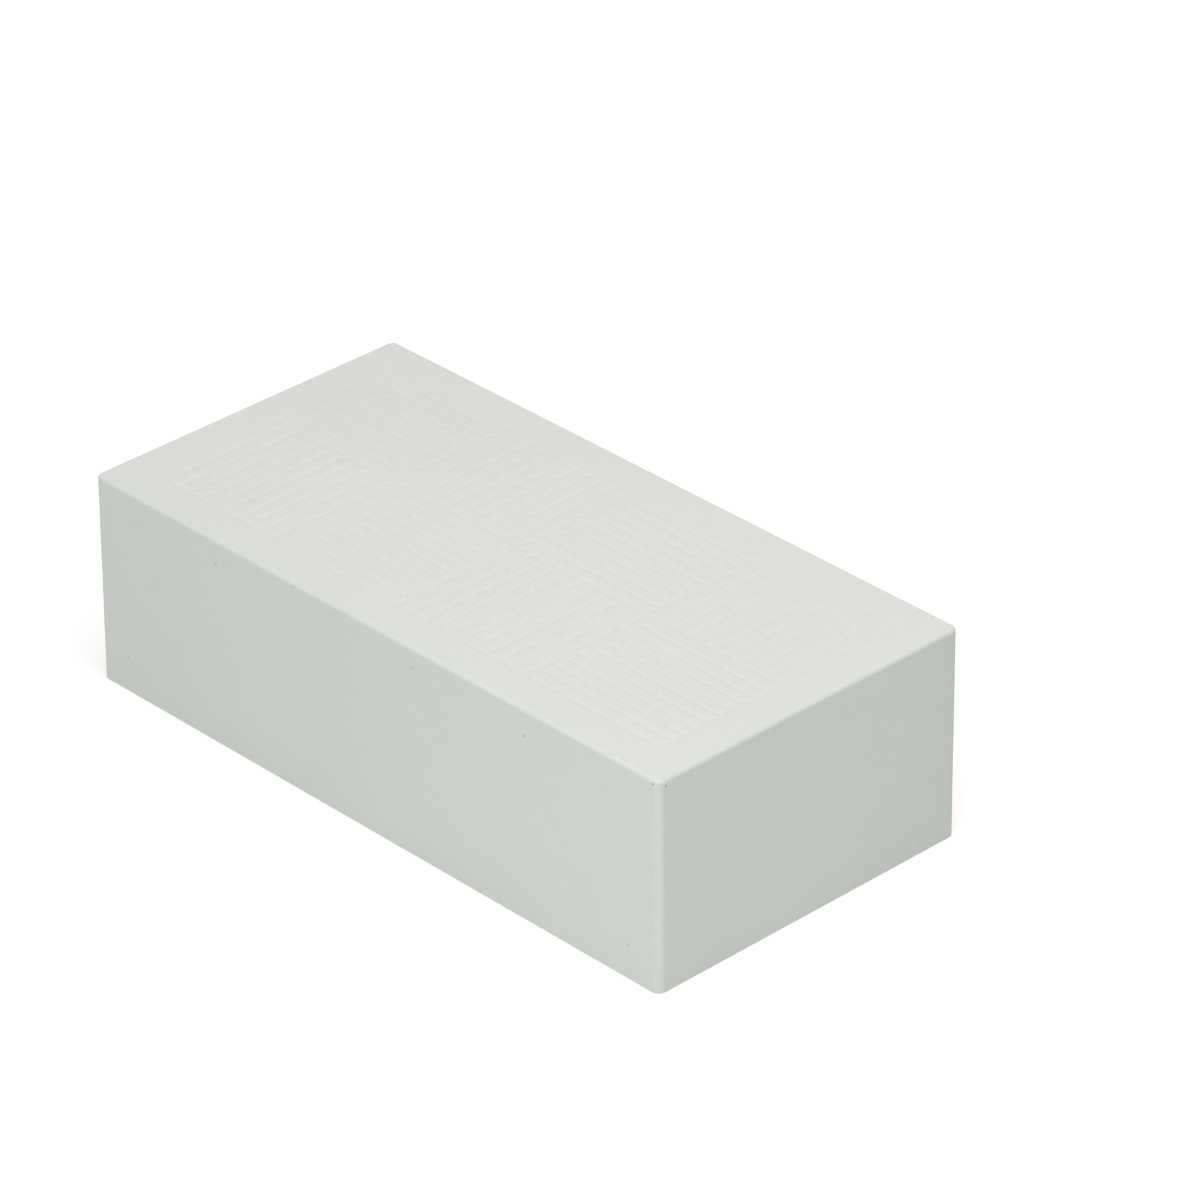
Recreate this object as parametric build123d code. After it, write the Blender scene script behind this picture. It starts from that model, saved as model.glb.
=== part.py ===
"""One-piece moulded plastic entry step.

An open-bottomed rectangular shell with a ribbed underside and a tread of
raised bars laid in a basket weave.
Millimetres, +X along the length, +Y towards the door side, +Z up.
The origin is on the floor, under the centre of the tread.
"""

from build123d import *
import math
import os

# Overall size, with the raised bars counted in the height
LENGTH = 600.0
DEPTH = 300.0
HEIGHT = 175.0

# Outer shell
CORNER_RADIUS = 7.0
TOP_EDGE_RADIUS = 3.2
TOP_INSET = 0.8
RIM_WALL = 3.6
TREAD_THICKNESS = 4.0
CEILING_EDGE_RADIUS = 1.5

# Underside: deep webs part the hollow into bays, shallow ribs part each bay into cells
BAYS_LONG = 4
BAYS_DEEP = 2
CELLS_PER_BAY = 3
WEB_THICKNESS = 2.6
WEB_RECESS = 2.0
RIB_THICKNESS = 2.4
RIB_DEPTH = 40.0
INNER_DRAFT = 0.4

# Tread pattern: squares of parallel bars, turned by a quarter from one square to the next.
# The bars' sizes and gaps are those half way up their sloping edges.
SQUARES_LONG = 4
SQUARES_DEEP = 2
BARS_PER_SQUARE = 10
TREAD_MARGIN = 34.0
SQUARE_GAP = 6.0
BAR_GAP = 3.5
BAR_HEIGHT = 0.3
BAR_SLOPE = 1.0

# How far one form runs into or past the next, so that no two faces only just touch
OVERRUN = 0.5
BAR_OVERRUN = 0.15

# Levels and slopes that follow from the sizes above
TREAD_TOP = HEIGHT - BAR_HEIGHT
TREAD_UNDERSIDE = TREAD_TOP - TREAD_THICKNESS
RIB_BOTTOM = TREAD_UNDERSIDE - RIB_DEPTH
OUTER_DRAFT = math.degrees(math.atan(TOP_INSET / TREAD_TOP))
INNER_SLOPE = math.tan(math.radians(INNER_DRAFT))
BAR_DRAFT = math.degrees(math.atan(BAR_SLOPE / BAR_HEIGHT))
HOLLOW_LENGTH = LENGTH - 2 * RIM_WALL
HOLLOW_DEPTH = DEPTH - 2 * RIM_WALL


def spread(count, pitch):
    """Centres of `count` equal steps of `pitch`, spread evenly about zero."""
    return [(i - (count - 1) / 2) * pitch for i in range(count)]


def tapered_block(length, depth, bottom, top, draft):
    """A block that narrows upwards from its stated size."""
    footprint = Pos(0, 0, bottom) * Rectangle(length, depth)
    return extrude(footprint, amount=top - bottom, taper=draft)


def round_corners(block, radius):
    """The same block with its four upright edges rounded."""
    low, high = block.bounding_box().min.Z, block.bounding_box().max.Z
    half_way = (high - low) / 2
    upright = [edge for edge in block.edges() if edge.bounding_box().size.Z > half_way]
    return fillet(upright, radius)


def round_top(block, radius):
    """The same block with the edges of its top face rounded."""
    return fillet(block.faces().sort_by(Axis.Z)[-1].edges(), radius)


def outer_block():
    """The filled outer form, rounded at its upright and top edges."""
    block = tapered_block(LENGTH, DEPTH, 0, TREAD_TOP, OUTER_DRAFT)
    return round_top(round_corners(block, CORNER_RADIUS), TOP_EDGE_RADIUS)


def hollow():
    """The space inside the walls and under the tread, open at the floor."""
    flare = OVERRUN * INNER_SLOPE
    length = HOLLOW_LENGTH + 2 * flare
    depth = HOLLOW_DEPTH + 2 * flare
    space = tapered_block(length, depth, -OVERRUN, TREAD_UNDERSIDE, INNER_DRAFT)
    return round_top(round_corners(space, CORNER_RADIUS - RIM_WALL), CEILING_EDGE_RADIUS)


def upright_plate(thickness, run, lower_edge):
    """A plate along X that thickens from its lower edge up to the tread."""
    root = TREAD_UNDERSIDE + OVERRUN
    half_tip = thickness / 2
    half_root = half_tip + (root - lower_edge) * INNER_SLOPE
    section = Plane.YZ * Polygon(
        (-half_tip, lower_edge),
        (half_tip, lower_edge),
        (half_root, root),
        (-half_root, root),
        align=None,
    )
    return extrude(section, amount=run / 2, both=True)


def lattice(bays, span, run):
    """Plates along X, evenly spaced over the span: each is a deep web or a shallow rib."""
    cells = bays * CELLS_PER_BAY
    plates = []
    for number, place in enumerate(spread(cells - 1, span / cells), start=1):
        if number % CELLS_PER_BAY == 0:
            plate = upright_plate(WEB_THICKNESS, run, WEB_RECESS)
        else:
            plate = upright_plate(RIB_THICKNESS, run, RIB_BOTTOM)
        plates.append(Pos(0, place, 0) * plate)
    return plates


def shell():
    """The outer form, hollowed from below around its webs and ribs."""
    plates_along = lattice(BAYS_DEEP, HOLLOW_DEPTH, LENGTH)
    plates_across = [Rot(0, 0, 90) * plate for plate in lattice(BAYS_LONG, HOLLOW_LENGTH, DEPTH)]
    return outer_block() - (hollow() - plates_along - plates_across)


def square_size():
    """Length and depth of one square of bars."""
    length = LENGTH - 2 * TREAD_MARGIN - (SQUARES_LONG - 1) * SQUARE_GAP
    depth = DEPTH - 2 * TREAD_MARGIN - (SQUARES_DEEP - 1) * SQUARE_GAP
    return length / SQUARES_LONG, depth / SQUARES_DEEP


def bar(length, width):
    """One raised bar along X, with its foot sunk a little into the tread."""
    flare = BAR_SLOPE / 2 + BAR_OVERRUN * BAR_SLOPE / BAR_HEIGHT
    foot = TREAD_TOP - BAR_OVERRUN
    return tapered_block(length + 2 * flare, width + 2 * flare, foot, HEIGHT, BAR_DRAFT)


def square_of_bars(along_x):
    """Parallel bars that fill one square, along X or turned along Y."""
    size_x, size_y = square_size()
    run, across = (size_x, size_y) if along_x else (size_y, size_x)
    width = (across - (BARS_PER_SQUARE - 1) * BAR_GAP) / BARS_PER_SQUARE
    turn = 0 if along_x else 90
    centres = spread(BARS_PER_SQUARE, width + BAR_GAP)
    return [Rot(0, 0, turn) * Pos(0, offset, 0) * bar(run, width) for offset in centres]


def tread_bars():
    """All the bars, with the square at the front left corner laid along Y."""
    size_x, size_y = square_size()
    bars = []
    for column, x in enumerate(spread(SQUARES_LONG, size_x + SQUARE_GAP)):
        for row, y in enumerate(spread(SQUARES_DEEP, size_y + SQUARE_GAP)):
            along_x = (column + row) % 2 == 1
            bars += [Pos(x, y, 0) * one for one in square_of_bars(along_x)]
    return bars


def entry_step():
    """The whole moulding as one solid."""
    moulding = shell() + tread_bars()
    moulding.label = "entry_step"
    return moulding


os.makedirs("parts", exist_ok=True)
export_step(entry_step(), "parts/entry_step.step")
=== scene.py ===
# %% [markdown]
# # A moulded plastic entry step
#
# This step is one injection moulding: a shallow box with its mouth on the floor, ribbed inside,
# with a tread of flat bars parted by shallow grooves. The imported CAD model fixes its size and
# place. This script only gives it its looks, so it starts by loading that model as a frame.

# %% Load the frame
import math

import bmesh
import bpy
import numpy as np
from mathutils import Matrix, Vector
from mathutils.geometry import delaunay_2d_cdt


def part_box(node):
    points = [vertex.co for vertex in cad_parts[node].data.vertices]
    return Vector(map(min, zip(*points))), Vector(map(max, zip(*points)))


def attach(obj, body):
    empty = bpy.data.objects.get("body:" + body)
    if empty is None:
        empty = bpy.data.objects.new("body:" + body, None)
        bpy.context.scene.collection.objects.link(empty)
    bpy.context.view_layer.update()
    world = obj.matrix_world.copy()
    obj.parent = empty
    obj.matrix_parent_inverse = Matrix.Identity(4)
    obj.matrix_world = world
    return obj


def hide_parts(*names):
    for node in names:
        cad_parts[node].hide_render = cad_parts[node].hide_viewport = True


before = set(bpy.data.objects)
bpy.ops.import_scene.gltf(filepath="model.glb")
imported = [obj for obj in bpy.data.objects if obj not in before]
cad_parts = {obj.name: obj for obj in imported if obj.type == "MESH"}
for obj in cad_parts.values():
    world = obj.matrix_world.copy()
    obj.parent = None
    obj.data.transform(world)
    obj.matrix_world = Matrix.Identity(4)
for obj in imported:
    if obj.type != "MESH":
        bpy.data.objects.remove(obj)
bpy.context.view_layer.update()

NODE = "entry_step"
low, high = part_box(NODE)
length, depth, height = high - low
print(f"frame: {length:.3f} x {depth:.3f} x {height:.3f} m")

# %% [markdown]
# ## Sizes
#
# Blender works in metres, a moulder in millimetres, so one factor turns the one into the other.
# The overall size is read from the frame. The rest are the wall, rib and groove sizes of the
# moulding. Everything below is worked out from these few values. Pairs hold a size along X and
# one along Y.

# %% Sizes of the moulding
MM = 0.001

CORNER_RADIUS = 7.0 * MM
TOP_EDGE_RADIUS = 3.2 * MM
TOP_INSET = 0.8 * MM
RIM_WALL = 3.6 * MM
RIM_ROUND = 0.6 * MM
TREAD_THICKNESS = 4.3 * MM
CEILING_EDGE_RADIUS = 1.5 * MM

BAYS_LONG, BAYS_DEEP, CELLS_PER_BAY = 4, 2, 3
WEB_THICKNESS, WEB_RECESS = 2.6 * MM, 2.0 * MM
RIB_THICKNESS, RIB_DEPTH = 2.4 * MM, 40.0 * MM
TIP_ROUND, ROOT_ROUND = 0.5 * MM, 1.0 * MM
INNER_SLOPE = math.tan(math.radians(0.4))

SQUARES, GROOVES_PER_SQUARE = (4, 2), 9
SQUARE_PITCH = np.array([134.2, 119.0]) * MM
PATTERN_START = np.array([265.9, -115.7]) * MM
PATTERN_END = np.array([-267.8, 119.3]) * MM
FIRST_GROOVE = np.array([13.4, 12.15]) * MM
GROOVE_PITCH = np.array([13.17, 11.6]) * MM
GROOVE_WIDTH = np.array([4.7, 3.2]) * MM
BORDER_WIDTH = 4.6 * MM
GROOVE_DEPTH, GROOVE_SLOPE = 0.36 * MM, 2.4 * MM
FAINT_SHARE = 0.25

half_plan = np.array([length, depth]) / 2
tread_top = height
ceiling = tread_top - TREAD_THICKNESS
rib_bottom = ceiling - RIB_DEPTH
print(f"tread at {tread_top / MM:.1f} mm, ceiling at {ceiling / MM:.1f} mm")
print(f"rib tips at {rib_bottom / MM:.1f} mm")

# %% [markdown]
# ## Small tools for surfaces
#
# Each surface here is a sheet of points in rows and columns. A sheet needs faces between
# neighbouring points, and every curve in it starts as a few quarter circles. Two short helpers
# make these as whole arrays, so no loop walks over the vertices.

# %% Quarter circles and sheets
SMALL_ROUND_STEPS, TOP_ROUND_STEPS = 3, 10


def quarter(steps):
    """Sines and cosines of equal steps over a quarter turn, as two arrays."""
    angle = np.linspace(0, math.pi / 2, steps + 1)
    return np.sin(angle), np.cos(angle)


def sheet_faces(rows, columns, closed=False):
    """Quads of a sheet whose points are numbered row by row.

    Each quad joins (row, column), (row, column + 1), (row + 1, column + 1) and (row + 1, column).
    A closed sheet also joins its last column to its first.
    """
    number = np.arange(rows * columns).reshape(rows, columns)
    beside = np.roll(number, -1, axis=1)
    quads = np.stack([number[:-1], beside[:-1], beside[1:], number[1:]], axis=-1)
    if not closed:
        quads = quads[:, :-1]
    return quads.reshape(-1, 4)


# %% [markdown]
# ## The underside as a height field
#
# Seen from below, the hollow is walls, deep webs and shallow ribs that all hang from the tread.
# It could be cut out pocket by pocket, but the walls lean a little so that the step leaves its
# mould, and so every place under the step has just one height. That makes it a height field: one
# function of x and y. Each wall or plate has a section, which is height against distance from
# it, and the underside is the lowest of all the sections at each place.

# %% Sections of the plates and the wall
RIM_LINES = 4


def plate_section(thickness, tip):
    """Half of a hanging plate's section, as distances from its middle and heights.

    From the middle out: a flat tip, a quarter circle, the leaning side, and a hollow quarter
    circle into the ceiling.
    """
    sine, cosine = quarter(SMALL_ROUND_STEPS)
    edge = thickness / 2
    foot = edge + (ceiling - ROOT_ROUND - tip) * INNER_SLOPE
    away = np.concatenate([[0], edge - TIP_ROUND * (1 - sine), foot + ROOT_ROUND * (1 - cosine)])
    level = np.concatenate([[tip], tip + TIP_ROUND * (1 - cosine), ceiling - ROOT_ROUND * (1 - sine)])
    return away, level


def wall_section():
    """The outer wall's section, as distances in from the rim's outer rounding and heights.

    From outside in: the flat rim, a quarter circle, the leaning wall, and a hollow quarter
    circle into the ceiling.
    """
    sine, cosine = quarter(SMALL_ROUND_STEPS)
    rim = np.linspace(0, RIM_WALL - 2 * RIM_ROUND, RIM_LINES)[:-1]
    edge = RIM_WALL - RIM_ROUND
    foot = edge + (ceiling - CEILING_EDGE_RADIUS) * INNER_SLOPE
    top_away, top_level = CEILING_EDGE_RADIUS * (1 - cosine), CEILING_EDGE_RADIUS * (1 - sine)
    away = np.concatenate([rim, edge - RIM_ROUND * (1 - sine), foot + top_away])
    level = np.concatenate([0 * rim, RIM_ROUND * (1 - cosine), ceiling - top_level])
    return away, level


def with_rib_levels(section):
    """The same section with points added where it passes the ribs' tips, so that both meet there."""
    away, level = section
    extra = rib_bottom + np.array([0, TIP_ROUND])
    places = np.interp(extra, level, away)
    order = np.argsort(np.concatenate([away, places]))
    return np.concatenate([away, places])[order], np.concatenate([level, extra])[order]


WEB = with_rib_levels(plate_section(WEB_THICKNESS, WEB_RECESS))
RIB = plate_section(RIB_THICKNESS, rib_bottom)
WALL = with_rib_levels(wall_section())
print("points in the sections of web, rib and wall:", len(WEB[0]), len(RIB[0]), len(WALL[0]))

# %% [markdown]
# The grid's lines are drawn where a section bends, and nowhere else, so a flat stretch costs one
# face and a rounding gets as many as it needs. Plates stand at equal steps between the walls,
# and every third one is a deep web.

# %% Lines of the grid along one direction
LINE_DIGITS = 7  # lines within a ten-thousandth of a millimetre are one


def spread(count, pitch):
    """Centres of `count` equal steps of `pitch`, spread evenly about zero."""
    return (np.arange(count) - (count - 1) / 2) * pitch


def plates_along(bays, span):
    """Places of the plates over a span, with the section of each."""
    cells = bays * CELLS_PER_BAY
    places = spread(cells - 1, span / cells)
    is_web = [number % CELLS_PER_BAY == 0 for number in range(1, cells)]
    return [(place, WEB if web else RIB) for place, web in zip(places, is_web)]


def grid_lines(half, plates, corner):
    """Sorted positions of the grid's lines from wall to wall.

    They are the bends of the wall's section at both ends, the line where the corners' roundings
    start, and the bends of every plate's section on both of its sides.
    """
    ends = np.concatenate([WALL[0], [corner]])
    lines = [half - ends, ends - half]
    for place, (away, _) in plates:
        lines += [place + away, place - away]
    return np.unique(np.round(np.concatenate(lines), LINE_DIGITS))


def plate_levels(lines, plates):
    """Height of the lowest plate at each line: the least of the plates' sections there."""
    levels = [np.interp(abs(lines - place), away, level) for place, (away, level) in plates]
    return np.min(levels, axis=0)


rim_half = half_plan - RIM_ROUND
rim_corner = CORNER_RADIUS - RIM_ROUND
plates_x = plates_along(BAYS_LONG, length - 2 * RIM_WALL)
plates_y = plates_along(BAYS_DEEP, depth - 2 * RIM_WALL)
lines_x = grid_lines(rim_half[0], plates_x, rim_corner)
lines_y = grid_lines(rim_half[1], plates_y, rim_corner)
print("grid lines:", len(lines_x), "by", len(lines_y))

# %% [markdown]
# A plain grid has square corners, and this box has round ones. Cutting the corners off would
# leave ragged faces. Instead the grid is bent: in the small square at each corner, every point
# moves in towards the centre of the rounding until square rings have become round ones.

# %% Bend the grid's corners and give it its heights
def rounded_corners(x, y, half, radius):
    """Points of a square grid, pulled in so that its corners become round.

    In a corner's square, a point whose larger distance from the rounding's centre is m goes to
    the circle of radius m, along its own ray. Everywhere else it stays.
    """
    across = np.maximum(abs(x) - (half[0] - radius), 0)
    along = np.maximum(abs(y) - (half[1] - radius), 0)
    ray = np.hypot(across, along)
    pull = np.where(ray > 0, np.maximum(across, along) / np.where(ray > 0, ray, 1), 1)
    return x - np.sign(x) * across * (1 - pull), y - np.sign(y) * along * (1 - pull)


def underside():
    """Points and triangles of the underside, from rim to rim.

    The height is the least of the wall's section and the two families of plates. Each quad is
    split along the diagonal that lies higher, because the least of several sections bends that
    way where two plates cross.
    """
    x, y = np.meshgrid(lines_x, lines_y)
    inward = np.minimum(rim_half[0] - abs(x), rim_half[1] - abs(y))
    across, along = plate_levels(lines_x, plates_x), plate_levels(lines_y, plates_y)
    level = np.minimum(across[None, :], along[:, None])
    level = np.minimum(level, np.interp(inward, *WALL))
    px, py = rounded_corners(x, y, rim_half, rim_corner)
    points = np.stack([px, py, level], axis=-1).reshape(-1, 3)
    a, b, c, d = sheet_faces(len(lines_y), len(lines_x)).T
    z = points[:, 2]
    one_way = z[a] + z[c] >= z[b] + z[d]
    first = np.where(one_way, [a, c, b], [a, d, b])
    second = np.where(one_way, [a, d, c], [b, d, c])
    return points, np.concatenate([first.T, second.T])


under_points, under_faces = underside()
print("underside:", len(under_points), "points,", len(under_faces), "triangles")

# %% [markdown]
# ## The sides, carried round the rim
#
# The outside is one profile carried round one path. The path is the edge of the grid just made,
# so the two share their points and close without a seam. The profile rounds the rim, climbs the
# slightly leaning wall, and turns over the top edge with the larger radius that catches the
# light on the real step.

# %% Path and profile of the sides
WALL_ROWS = 8


def rim_path():
    """The grid's outer edge as a closed path, with the outward direction at each point."""
    left, right, front, back = lines_x[:1], lines_x[-1:], lines_y[:1], lines_y[-1:]
    inner = lines_y[1:-1]
    x = np.concatenate([lines_x, right.repeat(len(inner)), lines_x[::-1], left.repeat(len(inner))])
    y = np.concatenate([front.repeat(len(lines_x)), inner, back.repeat(len(lines_x)), inner[::-1]])
    centre = np.clip(np.stack([x, y], 1), rim_corner - rim_half, rim_half - rim_corner)
    path = np.stack(rounded_corners(x, y, rim_half, rim_corner), 1)
    outward = path - centre
    return path, outward / np.linalg.norm(outward, axis=1, keepdims=True)


def side_profile():
    """Insets from the wall's foot and heights, from the rim's underside to the flat of the tread.

    A quarter circle under the rim, the wall leaning in by TOP_INSET over its height, and a
    quarter circle over the top edge.
    """
    sine, cosine = quarter(SMALL_ROUND_STEPS)
    rim = RIM_ROUND * (1 - sine), RIM_ROUND * (1 - cosine)
    climb = np.linspace(RIM_ROUND, tread_top - TOP_EDGE_RADIUS, WALL_ROWS)[1:-1]
    lean = climb / tread_top * TOP_INSET
    sine, cosine = quarter(TOP_ROUND_STEPS)
    turn = TOP_INSET + TOP_EDGE_RADIUS * (1 - cosine), tread_top - TOP_EDGE_RADIUS * (1 - sine)
    inset = np.concatenate([rim[0], lean, turn[0]])
    level = np.concatenate([rim[1], climb, turn[1]])
    return inset, level


def sides():
    """Points and quads of the sides: each path point moved in by the inset and up to the level."""
    path, outward = rim_path()
    inset, level = side_profile()
    plan = path[None] - outward[None] * (inset[:, None, None] - RIM_ROUND)
    tall = np.broadcast_to(level[:, None, None], plan.shape[:2] + (1,))
    points = np.concatenate([plan, tall], axis=-1)
    return points.reshape(-1, 3), sheet_faces(len(inset), len(path), closed=True), points[-1]


side_points, side_faces, tread_edge = sides()
print("sides:", len(side_points), "points,", len(side_faces), "quads")

# %% [markdown]
# ## The grooved tread
#
# The tread's grip comes from flat bars in a basket weave. They are level with the margin round
# them: what makes them is shallow grooves, nine in each square and one along each of its sides.
# In plan a groove is a rectangle with soft edges, so one short function of a place and two limits
# describes it both across and along. The pattern is measured from its front right corner. At its
# left and back limits the bars end in grooves so faint that they hardly show.

# %% Places of the grooves
def soft(places, start, end):
    """1 between two limits and 0 outside, with a slope of GROOVE_SLOPE centred on each limit.

    With s going from 0 to 1 across the slope, the value is s * s * (3 - 2 * s), which leaves
    both levels without a crease.
    """
    s = np.clip(0.5 + np.minimum(places - start, end - places) / GROOVE_SLOPE, 0, 1)
    return s * s * (3 - 2 * s)


def widened(place, width):
    """Limits half a width below and above a place, or a pair of limits moved apart as far."""
    return place + np.array([-0.5, 0.5]) * width


def border_middles(axis):
    """Middles of the grooves round the squares on one axis, and the sign of their direction.

    They run from the pattern's start to its end.
    """
    towards = np.sign(PATTERN_END[axis] - PATTERN_START[axis])
    steps = np.arange(SQUARES[axis]) * SQUARE_PITCH[axis]
    return np.append(PATTERN_START[axis] + towards * steps, PATTERN_END[axis]), towards


def border_grooves():
    """The grooves round the squares: axis across, limits across, limits along, share of the depth."""
    found = []
    for axis in (0, 1):
        ends = widened(np.sort(border_middles(1 - axis)[0])[[0, -1]], BORDER_WIDTH)
        for middle in border_middles(axis)[0]:
            share = FAINT_SHARE if middle == PATTERN_END[axis] else 1.0
            found.append((axis, widened(middle, BORDER_WIDTH), ends, share))
    return found


def inner_grooves(square):
    """The grooves inside one square, which turn by a quarter from each square to the next."""
    axis = 1 if sum(square) % 2 == 0 else 0
    own, towards = border_middles(axis)
    other = border_middles(1 - axis)[0]
    ends = np.sort(other[square[1 - axis]:][:2])
    steps = FIRST_GROOVE[axis] + np.arange(GROOVES_PER_SQUARE) * GROOVE_PITCH[axis]
    middles = own[square[axis]] + towards * steps
    return [(axis, widened(middle, GROOVE_WIDTH[axis]), ends, 1.0) for middle in middles]


squares = [(column, row) for column in range(SQUARES[0]) for row in range(SQUARES[1])]
grooves = border_grooves() + [groove for square in squares for groove in inner_grooves(square)]
print("grooves:", len(grooves))

# %% [markdown]
# The grooved part is a height field again, on a grid whose lines lie over the grooves' soft
# edges. Where two grooves meet, the deeper one must not leave a crease in the other. Multiplying
# what each of them leaves standing does that by itself.

# %% Sink the grooves into the tread
LINES_OVER_EDGE = 4
GROOVE_LINE_DIGITS = 5  # lines within a hundredth of a millimetre are one


def tread_lines(axis):
    """Sorted grid lines on one axis: a few over each soft edge of the grooves across it."""
    limits = np.array([across for groove_axis, across, _, _ in grooves if groove_axis == axis])
    over_edge = GROOVE_SLOPE * np.linspace(-0.5, 0.5, LINES_OVER_EDGE)
    return np.unique(np.round(limits[..., None] + over_edge, GROOVE_LINE_DIGITS))


def grooved_tread():
    """Points, quads and outline of the grooved part of the tread.

    With d as each groove's share of the full depth at a place, the depth there is GROOVE_DEPTH
    times (1 - the product of all (1 - d)).
    """
    x, y = tread_lines(0), tread_lines(1)
    standing = np.ones((len(y), len(x)))
    for axis, across, along, share in grooves:
        over_x, over_y = (across, along) if axis == 0 else (along, across)
        standing *= 1 - share * soft(y, *over_y)[:, None] * soft(x, *over_x)
    level = tread_top - GROOVE_DEPTH * (1 - standing)
    points = np.stack([*np.meshgrid(x, y), level], axis=-1)
    outline = np.concatenate([points[0, :-1], points[:-1, -1], points[-1, :0:-1], points[:0:-1, 0]])
    return points.reshape(-1, 3), sheet_faces(len(y), len(x)), outline


tread_points, tread_faces, pattern_edge = grooved_tread()
print("grooved tread:", len(tread_points), "points,", len(tread_faces), "quads")

# %% [markdown]
# ## The margin of the tread
#
# Round the pattern the tread is flat, from the grid's outline to the top of the sides. The two
# outlines have their points at different places, and a constrained Delaunay triangulation takes
# them as they are and fills what lies between them with triangles.

# %% Fill the flat between two outlines
# The triangulation's number for "only inside the rings", and how near two points are one.
INSIDE_RINGS, SAME_PLACE = 1, 1e-9


def flat_between(outer, inner):
    """Points and triangles of a flat sheet inside one outline and outside the other.

    The triangulation says which rings hold each triangle. Those of the sheet lie in the outer
    ring alone.
    """
    plan = np.concatenate([outer, inner])[:, :2]
    rings = [list(range(len(outer))), list(range(len(outer), len(plan)))]
    given = [Vector(place) for place in plan]
    found = delaunay_2d_cdt(given, [], rings, INSIDE_RINGS, SAME_PLACE, True)
    places, faces, parents = found[0], found[2], found[5]
    flat = np.column_stack([np.array(places), np.full(len(places), outer[0, 2])])
    return flat, np.array([face for face, ring in zip(faces, parents) if ring == [0]])


margin_points, margin_faces = flat_between(tread_edge, pattern_edge)
print("margin of the tread:", len(margin_points), "points,", len(margin_faces), "triangles")

# %% [markdown]
# ## One closed skin
#
# The four sheets now become one mesh. Points that two sheets share are merged, and a quick count
# of open edges shows that the skin has no gap. Faces that meet at more than 35 degrees keep a
# crisp edge. Weighted normals keep the large flats flat, so that a rounding shades its own
# narrow strip and not the face beside it.

# %% Join the sheets into the moulding
MERGE_WITHIN = 0.002 * MM
CRISP_ANGLE = math.radians(35)
FLAT_FACE_WEIGHT = 80


def placed(name, data):
    """A new object in the scene for a mesh, a camera or a lamp."""
    made = bpy.data.objects.new(name, data)
    bpy.context.collection.objects.link(made)
    return made


def joined(name, sheets):
    """One mesh object from (points, list of face arrays) sheets, with shared points merged."""
    points, faces, first = [], [], 0
    for sheet_points, groups in sheets:
        points.append(sheet_points)
        faces += [face for group in groups for face in (group + first).tolist()]
        first += len(sheet_points)
    mesh = bpy.data.meshes.new(name)
    mesh.from_pydata(np.concatenate(points), [], faces)
    work = bmesh.new()
    work.from_mesh(mesh)
    bmesh.ops.remove_doubles(work, verts=work.verts, dist=MERGE_WITHIN)
    open_edges = sum(len(edge.link_faces) != 2 for edge in work.edges)
    volume = work.calc_volume(signed=True)
    work.to_mesh(mesh)
    work.free()
    mesh.shade_smooth()
    mesh.set_sharp_from_angle(angle=CRISP_ANGLE)
    print(f"{name}: {open_edges} open edges, {volume * 1000:.3f} litres")
    return placed(name, mesh)


moulding = joined(
    "entry_step_moulding",
    [
        (under_points, [under_faces]),
        (side_points, [side_faces]),
        (tread_points, [tread_faces]),
        (margin_points, [margin_faces]),
    ],
)
even = moulding.modifiers.new("even shading", "WEIGHTED_NORMAL")
even.keep_sharp = True
even.weight = FLAT_FACE_WEIGHT

# %% [markdown]
# ## A small language for shaders
#
# A material is a web of nodes, which is tedious to write link by link. A short class wraps a
# socket, so that sums and products read as they would on paper and add their own Math nodes.

# %% The Wire class
class Wire:
    """One socket of a material, with arithmetic that adds the nodes for it."""

    def __init__(self, tree, socket=None):
        self.tree = tree
        self.socket = socket

    def node(self, kind, settings, inputs, out=0):
        """Adds a node: its settings first, then a value or a link for each input.

        Inputs and the output are given by name, or by number where several share a name.
        """
        made = self.tree.nodes.new(kind)
        for name, value in settings.items():
            setattr(made, name, value)
        for key, value in inputs.items():
            if isinstance(value, Wire):
                self.tree.links.new(value.socket, made.inputs[key])
            else:
                made.inputs[key].default_value = value
        return Wire(self.tree, made.outputs[out] if made.outputs else None)

    def math(self, operation, *values):
        """A Math node on plain values and wires."""
        return self.node("ShaderNodeMath", {"operation": operation}, dict(enumerate(values)))

    def __add__(self, other):
        return self.math("ADD", self, other)

    def __rsub__(self, other):
        return self.math("SUBTRACT", other, self)

    def __mul__(self, other):
        return self.math("MULTIPLY", self, other)

    __radd__ = __add__
    __rmul__ = __mul__

    def step(self, start, end):
        """0 below start and 1 above end, with a smooth rise between them."""
        ranges = {"Value": self, "From Min": start, "From Max": end}
        return self.node("ShaderNodeMapRange", {"interpolation_type": "SMOOTHSTEP"}, ranges)

    def mix(self, first, second):
        """The first colour where this wire is 0 and the second where it is 1."""
        colours = {0: self, 6: first, 7: second}
        return self.node("ShaderNodeMix", {"data_type": "RGBA"}, colours, out=2)


def cleared(owner):
    """A wire to start from in the emptied nodes of a new material or world."""
    owner.use_nodes = True
    owner.node_tree.nodes.clear()
    return Wire(owner.node_tree)


# %% [markdown]
# ## The plastic
#
# The real step is pale grey with a slight green cast, and its outside has the fine grain of an
# eroded mould: satin, never glossy. The grain is a bump of small pebbles, a finer noise and a
# coarser one of a few millimetres. The pigment drifts very slightly over the surface and has a
# faint darker mottle. A few tiny dark specks and nicks are where the photograph shows them.

# %% Specks on the outside
SPECK_CORE = 0.45  # share of a speck's radius that has its full tone

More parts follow.
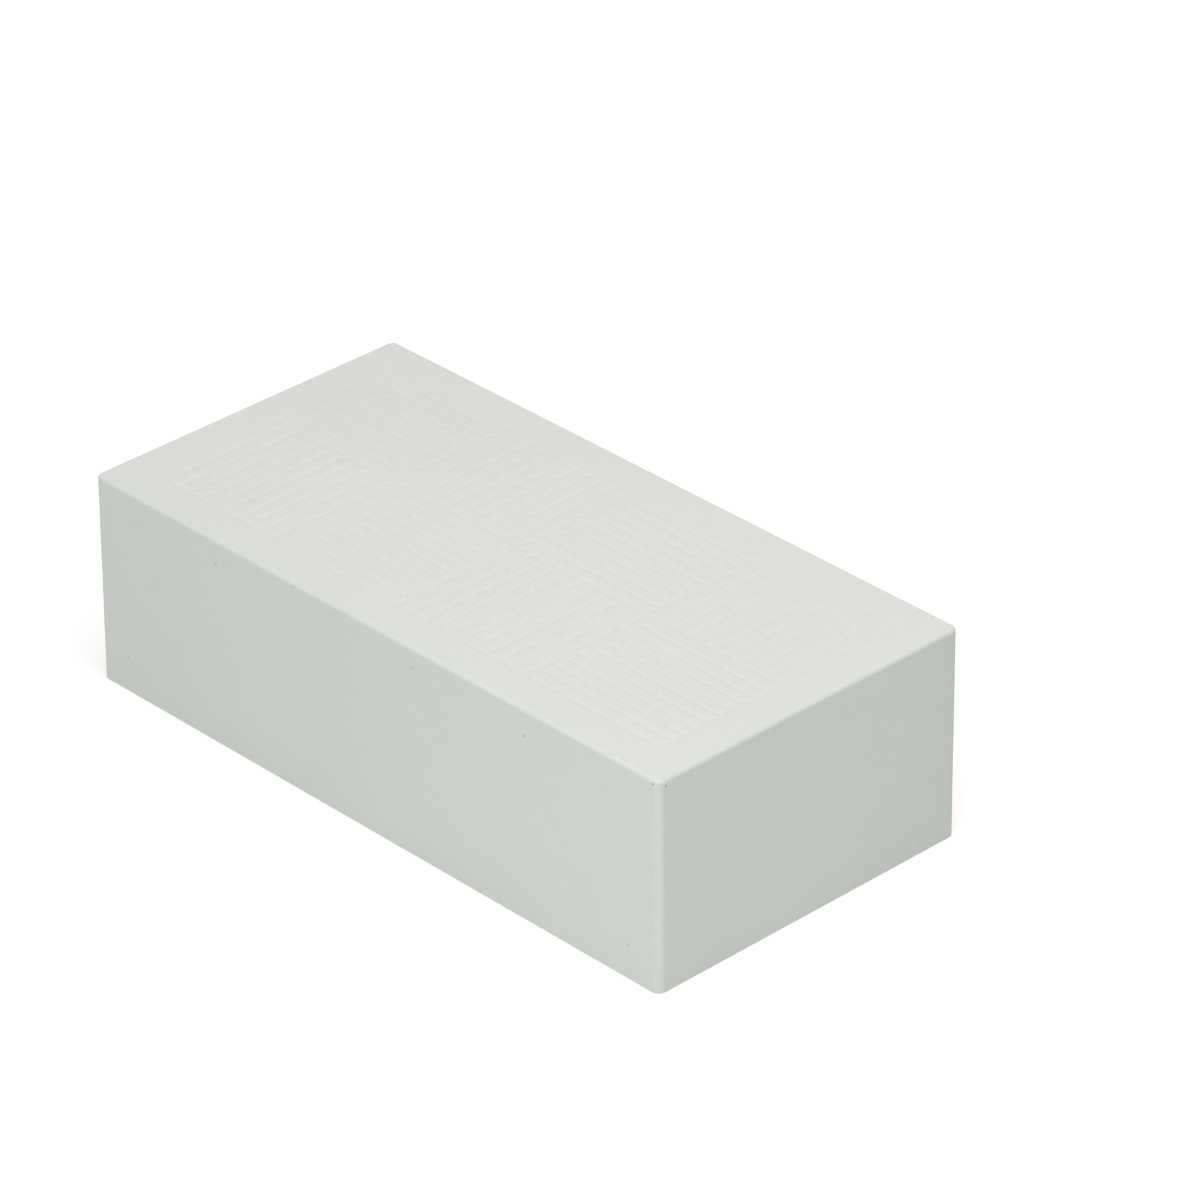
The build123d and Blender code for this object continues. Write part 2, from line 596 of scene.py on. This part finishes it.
# Each is a place in millimetres and a radius in millimetres.
DARK_SPECKS = [
    ((-163.5, -149.3, 154.0), 1.2),
    ((-268.6, -149.9, 30.0), 1.0),
    ((48.8, -149.3, 158.6), 1.1),
    ((164.9, -149.3, 153.0), 1.4),
    ((269.7, -149.9, 28.7), 1.3),
    ((293.6, -149.1, 171.6), 1.5),
    ((299.2, -142.1, 169.7), 1.4),
]
PALE_SPECKS = [((300.0, 106.5, 8.9), 1.3)]


def speck_mask(place, specks):
    """1 in the core of each speck and 0 outside it, from the distance to its centre."""
    total = 0
    for centre, radius in specks:
        ends = {0: place, 1: [c * MM for c in centre]}
        away = place.node("ShaderNodeVectorMath", {"operation": "DISTANCE"}, ends, out="Value")
        total = (1 - away.step(SPECK_CORE * radius * MM, radius * MM)) + total
    return total


print("dark specks and nicks:", len(DARK_SPECKS), "pale ones:", len(PALE_SPECKS))

# %% Colours and grain of the plastic
# A scale counts features to a metre, so 620 gives pebbles 1.6 mm across.
DRIFT_SCALE, DRIFT_COLOURS = 6, ((0.742, 0.754, 0.708, 1), (0.760, 0.771, 0.725, 1))
MOTTLE_SCALE, MOTTLE_AMOUNT, MOTTLE_COLOUR = 420, 0.28, (0.66, 0.69, 0.65, 1)
DARK_AMOUNT, DARK_COLOUR = 0.45, (0.10, 0.12, 0.11, 1)
PALE_AMOUNT, PALE_COLOUR = 0.6, (0.93, 0.94, 0.92, 1)

COARSE_SCALE, PEBBLE_SCALE, FINE_SCALE = 330, 620, 1500
PEBBLE_SHARE, FINE_SHARE, PEBBLE_SMOOTHNESS = 0.6, 0.4, 0.6
NOISE_ROUGHNESS = 0.6
RELIEF = 0.05 * MM
ROUGHNESS, ROUGHNESS_OF_GRAIN, REFRACTION = 0.52, 0.08, 1.49


# %% The plastic's shader
def moulded_plastic():
    """Pale satin plastic with the eroded grain of its mould."""
    material = bpy.data.materials.new("moulded_plastic")
    here = cleared(material)
    place = here.node("ShaderNodeTexCoord", {}, {}, out="Object")

    def noise(scale, detail, roughness=0.5):
        """Noise between 0 and 1 whose largest features are 1 / scale metres across."""
        knobs = {"Vector": place, "Scale": scale, "Detail": detail, "Roughness": roughness}
        return here.node("ShaderNodeTexNoise", {}, knobs)

    cells = {"Vector": place, "Scale": PEBBLE_SCALE, "Smoothness": PEBBLE_SMOOTHNESS, "Randomness": 1.0}
    pebbles = here.node("ShaderNodeTexVoronoi", {"feature": "SMOOTH_F1"}, cells)
    grain = (1 - pebbles) * PEBBLE_SHARE + noise(FINE_SCALE, 3, NOISE_ROUGHNESS) * FINE_SHARE
    level = grain + noise(COARSE_SCALE, 2)

    drift = noise(DRIFT_SCALE, 2).step(0.3, 0.7)
    mottle = noise(MOTTLE_SCALE, 3, NOISE_ROUGHNESS).step(0.35, 0.65)
    tone = (mottle * MOTTLE_AMOUNT).mix(drift.mix(*DRIFT_COLOURS), MOTTLE_COLOUR)
    tone = (speck_mask(place, DARK_SPECKS) * DARK_AMOUNT).mix(tone, DARK_COLOUR)
    tone = (speck_mask(place, PALE_SPECKS) * PALE_AMOUNT).mix(tone, PALE_COLOUR)

    rough = ROUGHNESS + grain * ROUGHNESS_OF_GRAIN
    relief = here.node("ShaderNodeBump", {}, {"Strength": 1.0, "Distance": RELIEF, "Height": level})
    finish = {"Base Color": tone, "Roughness": rough, "IOR": REFRACTION, "Normal": relief}
    skin = here.node("ShaderNodeBsdfPrincipled", {}, finish)
    here.node("ShaderNodeOutputMaterial", {}, {"Surface": skin})
    return material


moulding.data.materials.append(moulded_plastic())
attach(moulding, "root")
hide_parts(NODE)
print("material nodes:", len(moulding.data.materials[0].node_tree.nodes))

# %% [markdown]
# ## Camera
#
# The photograph was taken from high up beside one corner, with a long lens: the edges hardly
# converge. A camera is a place, a direction and a lens. These were found by fitting the step's
# edges to the photograph's, so they are written as the direction, distance and lens of that fit.

# %% Place the camera
AZIMUTH, ELEVATION, ROLL = (math.radians(angle) for angle in (46.37, 30.675, -0.33))
DISTANCE = 4.8866
FRAME_PIXELS, LENS_PIXELS = 1200, 6674.6
AIM_RIGHT, AIM_UP, AIM_HEIGHT = 58.91 * MM, 38.2 * MM, 87.5 * MM


def camera_axes():
    """The camera's forward, right and up directions, from its azimuth, elevation and roll."""
    forward = Vector((
        -math.sin(AZIMUTH) * math.cos(ELEVATION),
        math.cos(AZIMUTH) * math.cos(ELEVATION),
        -math.sin(ELEVATION),
    ))
    level = Vector((math.cos(AZIMUTH), math.sin(AZIMUTH), 0))
    up = level.cross(forward)
    right = math.cos(ROLL) * level + math.sin(ROLL) * up
    return forward, right, right.cross(forward)


forward, right, up = camera_axes()
aim = Vector((0, 0, AIM_HEIGHT)) + right * AIM_RIGHT + up * AIM_UP
lens = bpy.data.cameras.new("camera")
lens.lens = lens.sensor_width * LENS_PIXELS / FRAME_PIXELS
camera = placed("camera", lens)
turn = Matrix((right, up, -forward)).transposed().to_4x4()
camera.matrix_world = Matrix.Translation(aim - forward * DISTANCE) @ turn
bpy.context.scene.camera = camera
print("camera at", [round(v, 3) for v in camera.matrix_world.translation])

# %% [markdown]
# ## Floor and light
#
# The step stands on a plain white studio floor. A large soft lamp in front and one overhead do
# the modelling, a weak one behind keeps the far sides from turning dull, and a dim cool sky fills
# the shadows. The floor's own glow, which carries no light to the step but what it mirrors, is a
# little warm, so that the shadow under the cool sky stays grey.

# %% Floor
FLOOR_HALF = 12.0
FLOOR_PAINT, FLOOR_GLOW = (0.7, 0.7, 0.7, 1), (1.0, 0.96, 0.95, 1)
GLOW_AT_STEP, GLOW_RISE = 0.5, 0.6
GLOW_RISES_FROM, GLOW_RISES_TO = 0.45, 1.6


def background_rays(here):
    """1 for rays from the camera and for mirrored or refracted ones, 0 for those that carry light."""
    names = ("Is Camera Ray", "Is Glossy Ray", "Is Transmission Ray")
    rays = [here.node("ShaderNodeLightPath", {}, {}, out=name) for name in names]
    return rays[0] + rays[1] + rays[2]


def floor_material():
    """White floor that reads as white to the camera and still shows the step's shadow.

    Its glow grows outwards from the step, so the shadow keeps its depth and the rest is white.
    """
    material = bpy.data.materials.new("studio_floor")
    here = cleared(material)
    place = here.node("ShaderNodeTexCoord", {}, {}, out="Object")
    away = here.node("ShaderNodeVectorMath", {"operation": "LENGTH"}, {0: place}, out="Value")
    lift = GLOW_AT_STEP + GLOW_RISE * away.step(GLOW_RISES_FROM, GLOW_RISES_TO)
    paint = here.node("ShaderNodeBsdfDiffuse", {}, {"Color": FLOOR_PAINT})
    shine = {"Color": FLOOR_GLOW, "Strength": background_rays(here) * lift}
    glow = here.node("ShaderNodeEmission", {}, shine)
    both = here.node("ShaderNodeAddShader", {}, {0: paint, 1: glow})
    here.node("ShaderNodeOutputMaterial", {}, {"Surface": both})
    return material


floor_mesh = bpy.data.meshes.new("studio_floor")
corners = [(x * FLOOR_HALF, y * FLOOR_HALF, 0) for x, y in ((-1, -1), (1, -1), (1, 1), (-1, 1))]
floor_mesh.from_pydata(corners, [], [(0, 1, 2, 3)])
floor_mesh.materials.append(floor_material())
floor = placed("studio_floor", floor_mesh)
print("floor:", 2 * FLOOR_HALF, "m square")

# %% Lights
LAMP_TARGET, LAMP_SIZE = Vector((0, 0, 0.1)), 1.6


def soft_lamp(name, place, power, tint):
    """A square area lamp at a place, turned to face the step."""
    light = bpy.data.lights.new(name, "AREA")
    light.size, light.energy, light.color = LAMP_SIZE, power, tint
    place = Vector(place)
    turn = (LAMP_TARGET - place).to_track_quat("-Z", "Y").to_matrix().to_4x4()
    placed(name, light).matrix_world = Matrix.Translation(place) @ turn
    print(f"{name}: {power} W from {(LAMP_TARGET - place).length:.2f} m")


soft_lamp("key_lamp", (1.7, -2.9, 1.3), 36.6, (0.983, 1.0, 0.955))
soft_lamp("top_lamp", (0.45, -0.15, 2.35), 28.2, (1.0, 0.92, 0.908))
soft_lamp("back_lamp", (-1.4, 2.45, 2.2), 5, (1.0, 0.97, 0.93))

# %% Sky
SKY_COLOUR, SKY_STRENGTH = (0.86, 0.97, 1.0, 1), 0.4


def studio_sky():
    """A dim cool fill for the object, and plain white behind it."""
    world = bpy.data.worlds.new("studio")
    here = cleared(world)
    fill = here.node("ShaderNodeBackground", {}, {"Color": SKY_COLOUR, "Strength": SKY_STRENGTH})
    white = here.node("ShaderNodeBackground", {}, {"Color": (1, 1, 1, 1), "Strength": 1.0})
    seen = here.node("ShaderNodeMixShader", {}, {0: background_rays(here), 1: fill, 2: white})
    here.node("ShaderNodeOutputWorld", {}, {"Surface": seen})
    return world


bpy.context.scene.world = studio_sky()
bpy.context.scene.view_settings.view_transform = "Standard"
print("sky:", SKY_COLOUR[:3], "at", SKY_STRENGTH)
